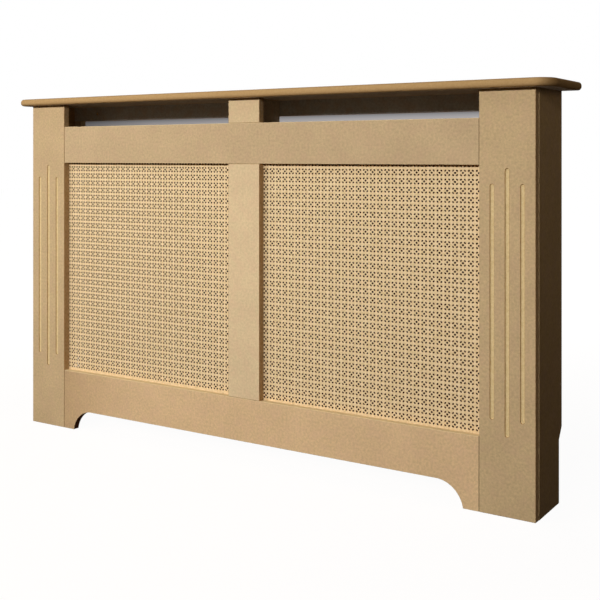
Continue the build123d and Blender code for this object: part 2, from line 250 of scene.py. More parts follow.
BOARD_IOR = 1.52
SHINE = 0.03                         # specular level: pressed fibre has almost none
BUNDLE = 5.5 * MM                    # bundles of fibre, drawn coarser than the real ones, so that they show
FIBRE = 1.6 * MM                     # single fibres, drawn coarser too
NOISE_RANGE = (0.35, 0.65)           # where the values of a noise texture mostly lie

PILASTER_TONE = "#C9AD82"
CLOUD_PINK = "#D0A88A"
PINKNESS = 0.24                      # share of the pink in the faint clouds of a sanded face
CLOUD_RANGE = (0.4, 0.65)
MOTTLING = 0.12                      # how much paler or darker a bundle of fibre is than its board
MOTTLE_RANGE = (0.33, 0.67)
DRIFTING = 0.07                      # how much darker a board is in its broad darker patches
FACE_BUNDLES = {"Scale": 1 / BUNDLE, "Detail": 3.0, "Roughness": 0.6}
FACE_CLOUDS = {"Scale": 1 / (24 * MM)}    # faint pink clouds
FACE_PATCHES = {"Scale": 1 / (90 * MM)}   # broad darker patches
FACE_FIBRES = {"Scale": 1 / FIBRE, "Detail": 3.0, "Roughness": 0.7}
FACE_RELIEF = {"Strength": 0.2, "Distance": 0.15 * MM}
FACE_ROUGHNESS = 0.78

CUT_PALE = "#E0C89B"                 # the core of a planed edge
CUT_MID = "#D7BB8D"
SAWN_PALE = "#C1A178"                # the same core, browned by the saw and darkened further as painted shade
SAWN_MID = "#AF8D62"
FLUTE_PALE = "#E1C896"
FLUTE_MID = "#D4B986"
CUT_SKIN = "#9A7040"                 # the board's dense skins, seen on its cut edge
SKIN = 1.6 * MM                      # thickness of a skin
SKIN_SHARE = 0.55                    # of the skin's colour, at the board's face
CUT_BUNDLES = {"Scale": 1 / BUNDLE, "Detail": 4.0, "Roughness": 0.65}
CUT_FUZZ = {"Scale": 2 / FIBRE, "Detail": 3.0, "Roughness": 0.7}
CUT_RELIEF = {"Strength": 0.5, "Distance": 0.2 * MM}
CUT_ROUGHNESS = 0.9
WITHOUT_SKINS = 1.0                  # a thickness so large that no skin comes near


def shaded(colour, factor):
    """A linear colour made paler or darker by a factor."""
    return [c * factor for c in colour[:3]] + [1.0]


def noise_stops(dark, pale):
    """A ramp's stops that spread two hex colours over a noise texture."""
    return [(NOISE_RANGE[0], linear(dark)), (NOISE_RANGE[1], linear(pale))]


def painted_shade_along(tree, place, colour, fade):
    """A colour darkened along an axis by painted shade. A fade is the axis, a place where the painted
    shade is full, the shade there, and a place where it has ended."""
    axis, darkest_at, shade_tone, unshaded_at = fade
    along = put(tree, "ShaderNodeSeparateXYZ", {0: place}, out=axis)
    share = {"Value": along, "From Min": darkest_at, "From Max": unshaded_at}
    share = put(tree, "ShaderNodeMapRange", share, out=0)
    stops = [(0.0, linear(shade_tone)), (1.0, linear(WHITE))]
    shade_ramp = put(tree, "ShaderNodeValToRGB", {"Fac": share}, out="Color", stops=stops)
    return put(tree, "ShaderNodeMix", {"Factor": 1.0, 6: colour, 7: shade_ramp}, out=2, **MULTIPLIED)


def fibre_surface(tree, place, colour, roughness, fuzz, relief):
    """Ends a board's material with a dull surface, in relief from a noise texture's fuzz."""
    height = put(tree, "ShaderNodeTexNoise", {"Vector": place, **fuzz}, out="Fac")
    bump = put(tree, "ShaderNodeBump", {"Height": height, **relief}, out=0)
    finish = {
        "Base Color": colour,
        "Roughness": roughness,
        "IOR": BOARD_IOR,
        "Specular IOR Level": SHINE,
        "Normal": bump,
    }
    shader = put(tree, "ShaderNodeBsdfPrincipled", finish, out=0)
    put(tree, "ShaderNodeOutputMaterial", {"Surface": shader})


def sanded_mdf(name, tone, mottling=MOTTLING, fade=None):
    """A board's sanded face. It is matt and nearly even, with faint pink clouds, mottled bundles of fibre,
    and single fibres that catch the light."""
    material = blank_material(name)
    tree = material.node_tree
    place = put(tree, "ShaderNodeTexCoord", out="Object")
    tone = linear(tone)
    bundles = put(tree, "ShaderNodeTexNoise", {"Vector": place, **FACE_BUNDLES}, out="Fac")
    dark_at, pale_at = MOTTLE_RANGE
    stops = [(dark_at, shaded(tone, 1 - mottling)), (0.5, tone), (pale_at, shaded(tone, 1 + mottling))]
    colour = put(tree, "ShaderNodeValToRGB", {"Fac": bundles}, out="Color", stops=stops)
    clouds = put(tree, "ShaderNodeTexNoise", {"Vector": place, **FACE_CLOUDS}, out="Fac")
    clear_at, full_at = CLOUD_RANGE
    clouds = {"Value": clouds, "From Min": clear_at, "From Max": full_at, "To Max": PINKNESS}
    share = put(tree, "ShaderNodeMapRange", clouds, out=0)
    pink = shaded(linear(CLOUD_PINK), tone[0] / linear(CLOUD_PINK)[0])
    colour = put(tree, "ShaderNodeMix", {"Factor": share, 6: colour, 7: pink}, out=2, data_type="RGBA")
    patches = put(tree, "ShaderNodeTexNoise", {"Vector": place, **FACE_PATCHES}, out="Fac")
    stops = [(NOISE_RANGE[0], shaded(linear(WHITE), 1 - DRIFTING)), (NOISE_RANGE[1], linear(WHITE))]
    patches = put(tree, "ShaderNodeValToRGB", {"Fac": patches}, out="Color", stops=stops)
    colour = put(tree, "ShaderNodeMix", {"Factor": 1.0, 6: colour, 7: patches}, out=2, **MULTIPLIED)
    if fade:
        colour = painted_shade_along(tree, place, colour, fade)
    fibre_surface(tree, place, colour, FACE_ROUGHNESS, FACE_FIBRES, FACE_RELIEF)
    return material


def cut_mdf(name, axis, middles, thickness, core=(CUT_MID, CUT_PALE), skin_colour=CUT_SKIN, fade=None):
    """The cut edge of boards, their thickness along an axis about one or more middles. It is rougher than the
    face, with a paler, fuzzy core between darker skins."""
    material = blank_material(name)
    tree = material.node_tree
    place = put(tree, "ShaderNodeTexCoord", out="Object")
    across = put(tree, "ShaderNodeSeparateXYZ", {0: place}, out=axis.upper())
    depth = None
    for middle in middles:
        offset = put(tree, "ShaderNodeMath", {0: across, 1: middle}, out=0, operation="SUBTRACT")
        offset = put(tree, "ShaderNodeMath", {0: offset}, out=0, operation="ABSOLUTE")
        if depth is None:
            depth = offset
        else:
            depth = put(tree, "ShaderNodeMath", {0: depth, 1: offset}, out=0, operation="MINIMUM")
    face = thickness / 2
    skins = {"Value": depth, "From Min": face - 2 * SKIN, "From Max": face, "To Max": SKIN_SHARE}
    skins = put(tree, "ShaderNodeMapRange", skins, out=0)
    bundles = put(tree, "ShaderNodeTexNoise", {"Vector": place, **CUT_BUNDLES}, out="Fac")
    middle = put(tree, "ShaderNodeValToRGB", {"Fac": bundles}, out="Color", stops=noise_stops(*core))
    layers = {"Factor": skins, 6: middle, 7: linear(skin_colour)}
    colour = put(tree, "ShaderNodeMix", layers, out=2, data_type="RGBA")
    if fade:
        colour = painted_shade_along(tree, place, colour, fade)
    fibre_surface(tree, place, colour, CUT_ROUGHNESS, CUT_FUZZ, CUT_RELIEF)
    return material


def prism(outline, axis, low, high):
    """An outline across an axis, made solid from low to high. Its ends get material 0, and its sides 1."""
    turned = {
        "x": lambda a, b, t: (t, a, b),
        "y": lambda a, b, t: (a, t, b),
        "z": lambda a, b, t: (a, b, t),
    }[axis]
    form = bmesh.new()
    rims = [[form.verts.new(turned(a, b, t)) for a, b in outline] for t in (low, high)]
    form.faces.new(rims[0])
    form.faces.new(rims[1])
    for i in range(len(outline)):
        j = (i + 1) % len(outline)
        form.faces.new((rims[0][i], rims[0][j], rims[1][j], rims[1][i])).material_index = 1
    bmesh.ops.recalc_face_normals(form, faces=form.faces)
    return form


def settle(name, form, materials):
    """A bmesh as an object with its materials."""
    mesh = bpy.data.meshes.new(name)
    form.to_mesh(mesh)
    form.free()
    for material in materials:
        mesh.materials.append(material)
    obj = bpy.data.objects.new(name, mesh)
    scene.collection.objects.link(obj)
    return obj


def bake_modifiers(obj):
    """Puts the result of an object's modifiers into its mesh, and takes them off."""
    bpy.context.view_layer.update()
    result = bpy.data.meshes.new_from_object(obj.evaluated_get(bpy.context.evaluated_depsgraph_get()))
    obj.modifiers.clear()
    obj.data = result
    return obj


def rout(obj, cutters):
    """Cuts the cutters' shapes out of an object, and deletes them."""
    for cutter in cutters:
        cut = obj.modifiers.new("cut", "BOOLEAN")
        cut.operation = "DIFFERENCE"
        cut.solver = "EXACT"
        cut.object = cutter
    bake_modifiers(obj)
    for cutter in cutters:
        bpy.data.objects.remove(cutter)


def ease(obj):
    """Eases every sharp edge of a board with a small round, which shows the cut material."""
    edges = obj.modifiers.new("arris", "BEVEL")
    edges.width = ARRIS
    edges.segments = ARRIS_STEPS
    edges.limit_method = "ANGLE"
    edges.angle_limit = math.radians(EASED_FROM)
    edges.material = 1
    bake_modifiers(obj)
    mesh = obj.data
    mesh.polygons.foreach_set("use_smooth", [True] * len(mesh.polygons))
    mesh.set_sharp_from_angle(angle=math.radians(SHARP_FROM))
    weights = obj.modifiers.new("flat faces", "WEIGHTED_NORMAL")
    weights.keep_sharp = True
    return bake_modifiers(obj)


def place_board(obj, node):
    """Puts a finished board in the cabinet in place of a node."""
    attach(obj, "root")
    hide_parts(node)


def stadium(x, z, width, length, inset=0.0):
    """The outline of an upright slot with round ends, drawn in by an inset."""
    radius = width / 2 - inset
    reach = length / 2 - width / 2
    points = []
    for end, start in ((1, 0), (-1, 180)):
        for i in range(FLUTE_STEPS + 1):
            angle = math.radians(start + 180 * i / FLUTE_STEPS)
            points.append((x + radius * math.cos(angle), z + end * reach + radius * math.sin(angle)))
    return points


def groove(x, z, length, face):
    """A cutter for one flute: a slot that narrows at its bottom by the bit's corner radius."""
    form = bmesh.new()
    shoulder = face + FLUTE_DEPTH - FLUTE_ROOT
    levels = [(face - FLUTE_DEPTH, 0.0), (shoulder, 0.0)]
    for i in range(1, ROOT_STEPS + 1):
        turn = math.radians(90 * i / ROOT_STEPS)
        levels.append((shoulder + FLUTE_ROOT * math.sin(turn), FLUTE_ROOT * (1 - math.cos(turn))))
    rings = []
    for y, inset in levels:
        rings.append([form.verts.new((a, y, b)) for a, b in stadium(x, z, FLUTE_WIDTH, length, inset)])
    form.faces.new(rings[0])
    form.faces.new(rings[-1])
    for low, high in zip(rings, rings[1:]):
        for i in range(len(low)):
            j = (i + 1) % len(low)
            form.faces.new((low[i], low[j], high[j], high[i]))
    for side in form.faces:
        side.material_index = 2
    bmesh.ops.recalc_face_normals(form, faces=form.faces)
    return form


def rectangle(low, high, axis):
    """The outline of a box across an axis."""
    a, b = {"x": (1, 2), "y": (0, 2), "z": (0, 1)}[axis]
    return [(low[a], low[b]), (high[a], low[b]), (high[a], high[b]), (low[a], high[b])]


def plain_board(name, node, axis, materials, glue_line=(0.0, 0.0, 0.0)):
    """A rectangular board in place of a node, its edges still sharp, and glue lines left open at its ends."""
    low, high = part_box(node)
    low, high = low + Vector(glue_line), high - Vector(glue_line)
    index = "xyz".index(axis)
    return settle(name, prism(rectangle(low, high, axis), axis, low[index], high[index]), materials)


face_low, face_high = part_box("pilaster_left")
frame_front, frame_back = face_low.y, face_high.y
frame_middle = (frame_front + frame_back) / 2
frame_thickness = frame_back - frame_front
pilaster_face = sanded_mdf("MDF, sanded pilaster face", PILASTER_TONE)
upright_edge = cut_mdf(
    "MDF, sawn edge of the uprights", "y", [frame_middle], frame_thickness, (SAWN_MID, SAWN_PALE)
)
flute_face = cut_mdf("MDF, routed flute", "z", [FLUTE_MIDDLE], WITHOUT_SKINS, (FLUTE_MID, FLUTE_PALE))
frame_mdf = [pilaster_face, upright_edge, flute_face]

for side in ("left", "right"):
    low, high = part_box(f"pilaster_{side}")
    board = plain_board(f"pilaster_{side}_board", f"pilaster_{side}", "y", frame_mdf)
    middle = (low.x + high.x) / 2
    cutters = []
    for i, length in enumerate(FLUTE_LENGTHS):
        flute = groove(middle + (i - 1) * FLUTE_SPACING, FLUTE_MIDDLE, length, frame_front)
        cutters.append(settle("flute cutter", flute, frame_mdf))
    rout(board, cutters)
    place_board(ease(board), f"pilaster_{side}")


# ---- Rails, stile and vent block: the rest of the front frame, glued between the pilasters with biscuits.
# The bottom rail is sawn out underneath, which leaves a foot at each end and lets cool air in.
TOP_RAIL_TONE = "#C7AC84"
BOTTOM_RAIL_TONE = "#DCBA8D"
STILE_TONE = "#DDC399"
BLOCK_TONE = "#D6BC91"
EVEN_MOTTLING = 0.09                 # the stile and the block are more even than the other boards
FOOT_PAINTED_SHADE = ("X", -606 * MM, "#E1DED9", -360 * MM)  # painted shade: the bottom rail darkens towards its left end
ARCH_SHADE_PALE = "#6E4630"                # painted shade: dark brown on the arch's wall, which lies in shade, and on the rails' ends in the joints
ARCH_SHADE_MID = "#5A3420"
ARCH_HEIGHT = 53.5 * MM
ARCH_SETBACK = 36 * MM               # from a pilaster to the cut-out, along the floor
ARCH_RADIUS = 63 * MM
ARCH_STEPS = 20
SHOULDER_LINE = 0.8 * MM             # open at each end of a rail, where the joint shows as a dark line
GLUE_LINE = 0.2 * MM                 # open at each end of the stile and the block
END_FACING = 0.3                     # how far along the cabinet a face looks, to count as a rail's end


def darken_ends(board):
    """Gives a board's third material, the painted-shade brown where it has one, to its two ends and their
    arrises.
    """
    if len(board.data.materials) < 3:
        return
    for side in board.data.polygons:
        if abs(side.normal.x) > END_FACING:
            side.material_index = 2


stile_face = sanded_mdf("MDF, sanded stile face", STILE_TONE, EVEN_MOTTLING)
block_face = sanded_mdf("MDF, sanded block face", BLOCK_TONE, EVEN_MOTTLING)
top_rail_face = sanded_mdf("MDF, sanded top rail face", TOP_RAIL_TONE)
bottom_rail_face = sanded_mdf("MDF, sanded bottom rail face", BOTTOM_RAIL_TONE, fade=FOOT_PAINTED_SHADE)
rail_edge = cut_mdf(
    "MDF, planed edge of the rails", "y", [frame_middle], frame_thickness, (CUT_MID, CUT_PALE), CUT_PALE
)
shaded_end = cut_mdf("MDF, sawn end and arch, in painted shade", "y", [frame_middle], frame_thickness, (ARCH_SHADE_MID, ARCH_SHADE_PALE))
boards = {
    "top_rail": ([top_rail_face, rail_edge, shaded_end], (SHOULDER_LINE, 0.0, 0.0)),
    "centre_stile": ([stile_face, upright_edge], (0.0, 0.0, GLUE_LINE)),
    "vent_block": ([block_face, upright_edge], (0.0, 0.0, GLUE_LINE)),
}
for part, (finish, glue_line) in boards.items():
    board = ease(plain_board(f"{part}_board", part, "y", finish, glue_line))
    darken_ends(board)
    place_board(board, part)

low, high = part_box("bottom_rail")
low.x, high.x = low.x + SHOULDER_LINE, high.x - SHOULDER_LINE
foot = high.x - ARCH_SETBACK
drop = ARCH_RADIUS - ARCH_HEIGHT     # of the arcs' centres below the floor
centre = foot - math.sqrt(ARCH_RADIUS**2 - drop**2)
start = math.asin(drop / ARCH_RADIUS)
arc = []
for i in range(ARCH_STEPS + 1):
    angle = start + (math.pi / 2 - start) * i / ARCH_STEPS
    arc.append((centre + ARCH_RADIUS * math.cos(angle), ARCH_RADIUS * math.sin(angle) - drop))
outline = [(high.x, low.z), (high.x, high.z), (low.x, high.z), (low.x, low.z)]
outline += [(-x, z) for x, z in arc] + arc[::-1]
form = prism(outline, "y", low.y, high.y)
for side in form.faces:              # the arch's wall, and the feet's ends and soles
    if abs(side.normal.y) < 0.5 and side.calc_center_median().z < high.z / 2:
        side.material_index = 2
rail = ease(settle("bottom_rail_board", form, [bottom_rail_face, rail_edge, shaded_end]))
darken_ends(rail)
place_board(rail, "bottom_rail")


# ---- Perforated sheets: two sheets of 3.2 mm hardboard, punched in cells of a small round hole ringed by
# four slanting slots, and stapled behind the frame. Their faces are smoother, paler and yellower than MDF.
CELL_WIDTH = 18.17 * MM
CELL_HEIGHT = 19.18 * MM
COLUMNS = 32
ROWS = 30
PATTERN_LEFT = {"left": -616.1 * MM, "right": 25.65 * MM}
PATTERN_TOP = {"left": 736.7 * MM, "right": 734.95 * MM}
CENTRE_HOLE = 5.2 * MM
SLOT_LENGTH = 5.6 * MM
SLOT_WIDTH = 4.1 * MM
SLOT_PLACE = 0.25                    # of a slot's middle from the cell's middle, in cells
HOLE_CORNERS = 8
WELD = 0.02 * MM
MARGIN_REACH = 1.001                 # takes the pattern's outer edges just past a whole number

SHEET_PALE = "#F0D5AA"
SHEET_MID = "#E8CB9E"
SHEET_DARK = "#DEC090"
SHEET_RANGE = (0.32, 0.68)
PUNCHED_SHADED_PALE = "#58180C"             # the holes' walls: brown torn fibre, darkened further as painted shade
PUNCHED_SHADED_DARK = "#3E1208"
SHEET_CLOUDS = {"Scale": 1 / BUNDLE, "Detail": 3.0, "Roughness": 0.55}
SHEET_FLECKS = {"Scale": 1 / FIBRE, "Detail": 2.0, "Roughness": 0.6}
SHEET_RELIEF = {"Strength": 0.12, "Distance": 0.1 * MM}
SHEET_ROUGHNESS = 0.6


def perforation():
    """A node tree that punches one cell, repeats it, and adds the plain margins and the thickness."""
    tree = bpy.data.node_groups.new("punched sheet", "GeometryNodeTree")
    sockets = {
        "Cell": "Vector", "Columns": "Int", "Rows": "Int", "Centre Hole": "Float", "Slot": "Vector",
        "Slot Place": "Float", "Hole Corners": "Int", "Pattern Middle": "Vector", "Margin Low": "Vector",
        "Margin High": "Vector", "Thickness": "Float", "Weld": "Float", "Face": "Material",
        "Punched": "Material",
    }
    tree.interface.new_socket(name="Geometry", in_out="INPUT", socket_type="NodeSocketGeometry")
    for name, kind in sockets.items():
        tree.interface.new_socket(name=name, in_out="INPUT", socket_type=f"NodeSocket{kind}")
    tree.interface.new_socket(name="Geometry", in_out="OUTPUT", socket_type="NodeSocketGeometry")
    given = put(tree, "NodeGroupInput").outputs
    cell = put(tree, "ShaderNodeSeparateXYZ", {0: given["Cell"]}).outputs
    here = put(tree, "GeometryNodeInputPosition", out=0)

    # one cell, drawn flat: its outline, the round hole, and a slot at each corner of a smaller rectangle
    rim = {"Width": cell["X"], "Height": cell["Y"]}
    rim = put(tree, "GeometryNodeCurvePrimitiveQuadrilateral", rim, out=0)
    radius = put(tree, "ShaderNodeMath", {0: given["Centre Hole"], 1: 0.5}, out=0, operation="MULTIPLY")
    hole = {"Resolution": given["Hole Corners"], "Radius": radius}
    hole = put(tree, "GeometryNodeCurvePrimitiveCircle", hole, out=0)
    slot = {"Resolution": given["Hole Corners"], "Radius": 0.5}
    slot = put(tree, "GeometryNodeCurvePrimitiveCircle", slot, out=0)
    apart = put(tree, "ShaderNodeMath", {0: given["Slot Place"], 1: 2.0}, out=0, operation="MULTIPLY")
    ring = {}
    for side, axis in (("Width", "X"), ("Height", "Y")):
        ring[side] = put(tree, "ShaderNodeMath", {0: cell[axis], 1: apart}, out=0, operation="MULTIPLY")
    ring = put(tree, "GeometryNodeCurvePrimitiveQuadrilateral", ring, out=0)
    ring = put(tree, "GeometryNodeCurveToPoints", {"Curve": ring}, out=0, mode="EVALUATED")
    corner = put(tree, "ShaderNodeSeparateXYZ", {0: here}).outputs
    bearing = put(tree, "ShaderNodeMath", {0: corner["Y"], 1: corner["X"]}, out=0, operation="ARCTAN2")
    tangent = put(tree, "ShaderNodeMath", {0: bearing, 1: math.pi / 2}, out=0, operation="ADD")
    turn = put(tree, "ShaderNodeCombineXYZ", {"Z": tangent}, out=0)
    slots = {"Points": ring, "Instance": slot, "Rotation": turn, "Scale": given["Slot"]}
    slots = put(tree, "GeometryNodeInstanceOnPoints", slots, out=0)
    slots = put(tree, "GeometryNodeRealizeInstances", {0: slots}, out=0)
    curves = put(tree, "GeometryNodeJoinGeometry", {0: [rim, hole, slots]}, out=0)
    punched = put(tree, "GeometryNodeFillCurve", {0: curves}, out=0)

    # the cells, side by side and welded
    grid = {"Vertices X": given["Columns"], "Vertices Y": given["Rows"]}
    for axis, count in (("X", given["Columns"]), ("Y", given["Rows"])):
        steps = put(tree, "ShaderNodeMath", {0: count, 1: 1.0}, out=0, operation="SUBTRACT")
        span = put(tree, "ShaderNodeMath", {0: steps, 1: cell[axis]}, out=0, operation="MULTIPLY")
        grid[f"Size {axis}"] = span
    grid = put(tree, "GeometryNodeMeshGrid", grid, out=0)
    cells = put(tree, "GeometryNodeInstanceOnPoints", {"Points": grid, "Instance": punched}, out=0)
    cells = put(tree, "GeometryNodeRealizeInstances", {0: cells}, out=0)
    net = {"Geometry": cells, "Distance": given["Weld"]}
    net = put(tree, "GeometryNodeMergeByDistance", net, out=0)

    # the margins: the pattern's outer edges are drawn out to the sheet's own edges
    count = {"X": given["Columns"], "Y": given["Rows"], "Z": 2.0}
    count = put(tree, "ShaderNodeCombineXYZ", count, out=0)
    whole = put(tree, "ShaderNodeVectorMath", {0: given["Cell"], 1: count}, out=0, operation="MULTIPLY")
    half = put(tree, "ShaderNodeVectorMath", {0: whole, "Scale": 0.5}, out=0, operation="SCALE")
    share = put(tree, "ShaderNodeVectorMath", {0: here, 1: half}, out=0, operation="DIVIDE")
    share = put(tree, "ShaderNodeVectorMath", {0: share, "Scale": MARGIN_REACH}, out=0, operation="SCALE")
    size = put(tree, "ShaderNodeVectorMath", {0: share}, out=0, operation="ABSOLUTE")
    size = put(tree, "ShaderNodeSeparateXYZ", {0: size}).outputs
    size = put(tree, "ShaderNodeMath", {0: size["X"], 1: size["Y"]}, out=0, operation="MAXIMUM")
    outer = put(tree, "ShaderNodeMath", {0: size, 1: 1.0}, out=0, operation="GREATER_THAN")
    drawn = {"Mesh": net, "Selection": outer, "Offset Scale": 0.0}
    drawn = put(tree, "GeometryNodeExtrudeMesh", drawn, mode="EDGES").outputs
    moves = []
    for rounding, limit, margin in (("FLOOR", "MAXIMUM", "Margin High"), ("CEIL", "MINIMUM", "Margin Low")):
        way = put(tree, "ShaderNodeVectorMath", {0: share}, out=0, operation=rounding)
        way = put(tree, "ShaderNodeVectorMath", {0: way, 1: (0, 0, 0)}, out=0, operation=limit)
        way = put(tree, "ShaderNodeVectorMath", {0: way, 1: given[margin]}, out=0, operation="MULTIPLY")
        moves.append(way)
    move = put(tree, "ShaderNodeVectorMath", dict(enumerate(moves)), out=0, operation="ADD")
    front = {"Geometry": drawn[0], "Selection": drawn["Top"], "Offset": move}
    front = put(tree, "GeometryNodeSetPosition", front, out=0)

    # the thickness, and the sheet stood upright in its place
    flipped = put(tree, "GeometryNodeFlipFaces", {0: front}, out=0)
    walls = {"Mesh": flipped, "Offset Scale": given["Thickness"], "Individual": False}
    walls = put(tree, "GeometryNodeExtrudeMesh", walls, mode="FACES").outputs
    faced = put(tree, "GeometryNodeSetMaterial", {"Geometry": front, "Material": given["Face"]}, out=0)
    backed = put(tree, "GeometryNodeSetMaterial", {"Geometry": walls[0], "Material": given["Face"]}, out=0)
    holed = {"Geometry": backed, "Selection": walls["Side"], "Material": given["Punched"]}
    holed = put(tree, "GeometryNodeSetMaterial", holed, out=0)
    solid = put(tree, "GeometryNodeJoinGeometry", {0: [faced, holed]}, out=0)
    solid = {"Geometry": solid, "Distance": given["Weld"]}
    solid = put(tree, "GeometryNodeMergeByDistance", solid, out=0)
    stood = {"Geometry": solid, "Translation": given["Pattern Middle"], "Rotation": (math.pi / 2, 0, 0)}
    stood = put(tree, "GeometryNodeTransform", stood, out=0)
    real = put(tree, "GeometryNodeRealizeInstances", {0: stood}, out=0)
    put(tree, "NodeGroupOutput", {0: real})
    return tree


def grow(name, tree, values):
    """A mesh object that a node tree makes from named values."""
    obj = bpy.data.objects.new(name, bpy.data.meshes.new(name))
    scene.collection.objects.link(obj)
    maker = obj.modifiers.new(name, "NODES")
    maker.node_group = tree
    for item in tree.interface.items_tree:
        if item.in_out == "INPUT" and item.name in values:
            maker[item.identifier] = values[item.name]
    bake_modifiers(obj)
    form = bmesh.new()
    form.from_mesh(obj.data)
    bmesh.ops.recalc_face_normals(form, faces=form.faces)
    form.to_mesh(obj.data)
    form.free()
    return obj


def hardboard(name, stops):
    """Hardboard, pressed smooth. It is nearly even and a little less matt than MDF, with faint clouds and
    tiny flecks."""
    material = blank_material(name)
    tree = material.node_tree
    place = put(tree, "ShaderNodeTexCoord", out="Object")
    clouds = put(tree, "ShaderNodeTexNoise", {"Vector": place, **SHEET_CLOUDS}, out="Fac")
    colour = put(tree, "ShaderNodeValToRGB", {"Fac": clouds}, out="Color", stops=stops)
    fibre_surface(tree, place, colour, SHEET_ROUGHNESS, SHEET_FLECKS, SHEET_RELIEF)
    return material


dark_at, pale_at = SHEET_RANGE
stops = [(dark_at, linear(SHEET_DARK)), (0.5, linear(SHEET_MID)), (pale_at, linear(SHEET_PALE))]
sheet_face = hardboard("hardboard, pressed smooth", stops)
punched_wall = hardboard("hardboard, punched through, darkened by painted shade", noise_stops(PUNCHED_SHADED_DARK, PUNCHED_SHADED_PALE))
punched_sheet = perforation()
for side in ("left", "right"):
    low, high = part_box(f"grille_{side}")
    left, top = PATTERN_LEFT[side], PATTERN_TOP[side]
    right, bottom = left + COLUMNS * CELL_WIDTH, top - ROWS * CELL_HEIGHT
    sheet = grow(f"grille_{side}_sheet", punched_sheet, {
        "Cell": (CELL_WIDTH, CELL_HEIGHT, 1.0),
        "Columns": COLUMNS,
        "Rows": ROWS,
        "Centre Hole": CENTRE_HOLE,
        "Slot": (SLOT_LENGTH, SLOT_WIDTH, 1.0),
        "Slot Place": SLOT_PLACE,
        "Hole Corners": HOLE_CORNERS,
        "Pattern Middle": ((left + right) / 2, low.y, (top + bottom) / 2),
        "Margin Low": (left - low.x, bottom - low.z, 0.0),
        "Margin High": (high.x - right, high.z - top, 0.0),
        "Thickness": high.y - low.y,
        "Weld": WELD,
        "Face": sheet_face,
        "Punched": punched_wall,
    })
    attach(sheet, "root")
    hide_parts(f"grille_{side}")


# ---- Side panels: 18 mm MDF, square to the wall, sawn out at the foot to pass the skirting board. Each
# stands a hair outside its pilaster, so its front arris shows as a thin line down the corner.
# darker than the front's boards: the side panels' face carries painted shade
SIDE_TONE = "#A08258"
SIDE_PAINTED_SHADE = ("Z", 0.0, "#C8C4BC", 800 * MM)  # painted shade, darker towards the floor
SKIRTING_DEPTH = 18 * MM
SKIRTING_EDGE = 136 * MM             # height where the cut-out's upright edge ends

low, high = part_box("side_panel_right")
side_middle, side_thickness = (low.x + high.x) / 2, high.x - low.x
side_edge = cut_mdf("MDF, cut edge of the side panels", "x", [-side_middle, side_middle], side_thickness)
side_face = sanded_mdf("MDF, sanded side face", SIDE_TONE, fade=SIDE_PAINTED_SHADE)
for side in ("left", "right"):
    low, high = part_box(f"side_panel_{side}")
    cut_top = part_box(f"rear_batten_{side}")[0].z
    inner = high.y - SKIRTING_DEPTH
    outline = [(low.y, low.z), (low.y, high.z), (high.y, high.z), (high.y, cut_top)]
    outline += [(inner, SKIRTING_EDGE), (inner, low.z)]
    panel = settle(f"side_panel_{side}_board", prism(outline, "x", low.x, high.x), [side_face, side_edge])
    place_board(ease(panel), f"side_panel_{side}")


# ---- Battens, rear rail and brace: the offcuts that hold the cabinet square from inside, glued and nailed.
# The rear rail has two holes for the wall screws, and the brace's lower rear corner is sawn off.
INSIDE_TONE = "#BDB09C"              # greyed: a painted neutral shade, as the vents show them
REAR_RAIL_SHADE_TONE = "#BCBBB9"               # the rear rail, greyed more, for the same painted shade
WALL_HOLE = 5.5 * MM
WALL_HOLES = 1240 * MM               # between the two holes
HOLE_STEPS = 24
BRACE_CHAMFER = 40 * MM

inside_face = sanded_mdf("MDF, inside face, greyed for painted shade", INSIDE_TONE)
for side in ("left", "right"):
    for part in ("corner_batten", "rear_batten"):
        node = f"{part}_{side}"
        place_board(ease(plain_board(f"{node}_strip", node, "x", [inside_face, inside_face])), node)

low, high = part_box("rear_rail")
thickness = high.y - low.y
rear_edge = cut_mdf("MDF, cut edge of the rear rail", "y", [(low.y + high.y) / 2], thickness)
rail_face = sanded_mdf("MDF, rear rail, greyed for painted shade", REAR_RAIL_SHADE_TONE)
rail = plain_board("rear_rail_board", "rear_rail", "y", [rail_face, rear_edge])
drills = []
for side in (-1, 1):
    circle = []
    for i in range(HOLE_STEPS):
        angle = math.tau * i / HOLE_STEPS
        across = side * WALL_HOLES / 2 + WALL_HOLE / 2 * math.cos(angle)
        circle.append((across, (low.z + high.z) / 2 + WALL_HOLE / 2 * math.sin(angle)))
    drill = prism(circle, "y", low.y - thickness, high.y + thickness)
    drills.append(settle("drill", drill, [rear_edge, rear_edge]))
rout(rail, drills)
place_board(ease(rail), "rear_rail")

low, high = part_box("centre_brace")
brace_edge = cut_mdf("MDF, cut edge of the brace", "x", [0.0], high.x - low.x)
outline = [(low.y, low.z), (low.y, high.z), (high.y, high.z), (high.y, low.z + BRACE_CHAMFER)]
outline += [(high.y - BRACE_CHAMFER, low.z)]
brace = settle("centre_brace_board", prism(outline, "x", low.x, high.x), [inside_face, brace_edge])
place_board(ease(brace), "centre_brace")


# ---- Shelf: one 18 mm MDF board that laps the frame at the front and sides. A router rounded its front and
# side edges above and below, and its two front corners are rounded in plan.
SHELF_TONE = "#C7AA82"
UNDERSIDE_TONE = "#C6B6A0"           # greyed: a painted neutral shade, as the vents show it
ROUTED_PALE = "#BD9A6A"
ROUTED_MID = "#B38E5D"
ROUTED_SKIN = "#9A7851"
CORNER_PAINTED_SHADE = ("X", 768 * MM, "#C8C0B4", 740 * MM)  # painted shade: the right-hand edge is darker, from its corner on
SHELF_CORNER = 42 * MM
SHELF_ROUND = 8 * MM
CORNER_STEPS = 12
ROUND_STEPS = 8

